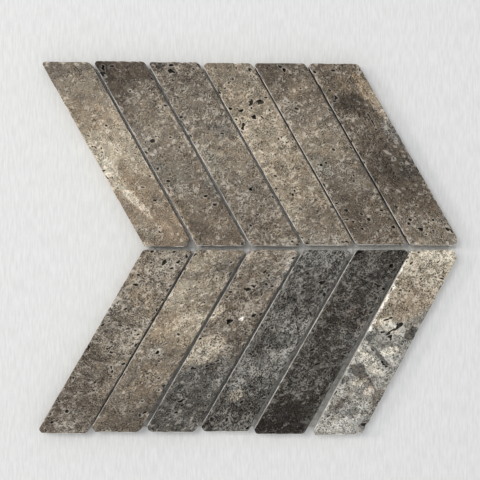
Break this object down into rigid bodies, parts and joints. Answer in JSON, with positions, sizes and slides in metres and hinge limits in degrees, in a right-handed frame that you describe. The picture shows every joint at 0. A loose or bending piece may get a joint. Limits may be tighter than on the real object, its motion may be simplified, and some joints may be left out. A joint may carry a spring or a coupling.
{
  "type": "chevron mosaic wall tile",
  "caption": "Sheet of tumbled travertine chevron wall tile: leaning parallelogram stones in two mirrored rows on a trimmed backing scrim.",
  "frame": {"origin": "middle of the sheet's bounding box, on the plane of its back", "axes": "+X across the rows, towards the chevron's point; +Y up the wall, from the lower row to the upper row; +Z out of the stones' face"},
  "size_m": [0.3022, 0.27, 0.0107],
  "materials": {
    "upper_stone_1": "tumbled, honed by wear, unfilled voids",
    "upper_stone_2": "tumbled, honed by wear, unfilled voids",
    "upper_stone_3": "tumbled, honed by wear, unfilled voids",
    "upper_stone_4": "tumbled, honed by wear, unfilled voids",
    "upper_stone_5": "tumbled, honed by wear, unfilled voids",
    "upper_stone_6": "tumbled, honed by wear, unfilled voids",
    "lower_stone_1": "tumbled, honed by wear, unfilled voids",
    "lower_stone_2": "tumbled, honed by wear, unfilled voids",
    "lower_stone_3": "tumbled, honed by wear, unfilled voids",
    "lower_stone_4": "tumbled, honed by wear, unfilled voids",
    "lower_stone_5": "tumbled, honed by wear, unfilled voids",
    "lower_stone_6": "tumbled, honed by wear, unfilled voids",
    "scrim": "coated glass yarn, matt"
  },
  "bodies": {
    "root": {"upper_stone_1": "upper_stone_1", "upper_stone_2": "upper_stone_2", "upper_stone_3": "upper_stone_3", "upper_stone_4": "upper_stone_4", "upper_stone_5": "upper_stone_5", "upper_stone_6": "upper_stone_6", "lower_stone_1": "lower_stone_1", "lower_stone_2": "lower_stone_2", "lower_stone_3": "lower_stone_3", "lower_stone_4": "lower_stone_4", "lower_stone_5": "lower_stone_5", "lower_stone_6": "lower_stone_6", "scrim_weft": "scrim", "scrim_warp": "scrim"}
  },
  "joints": []
}
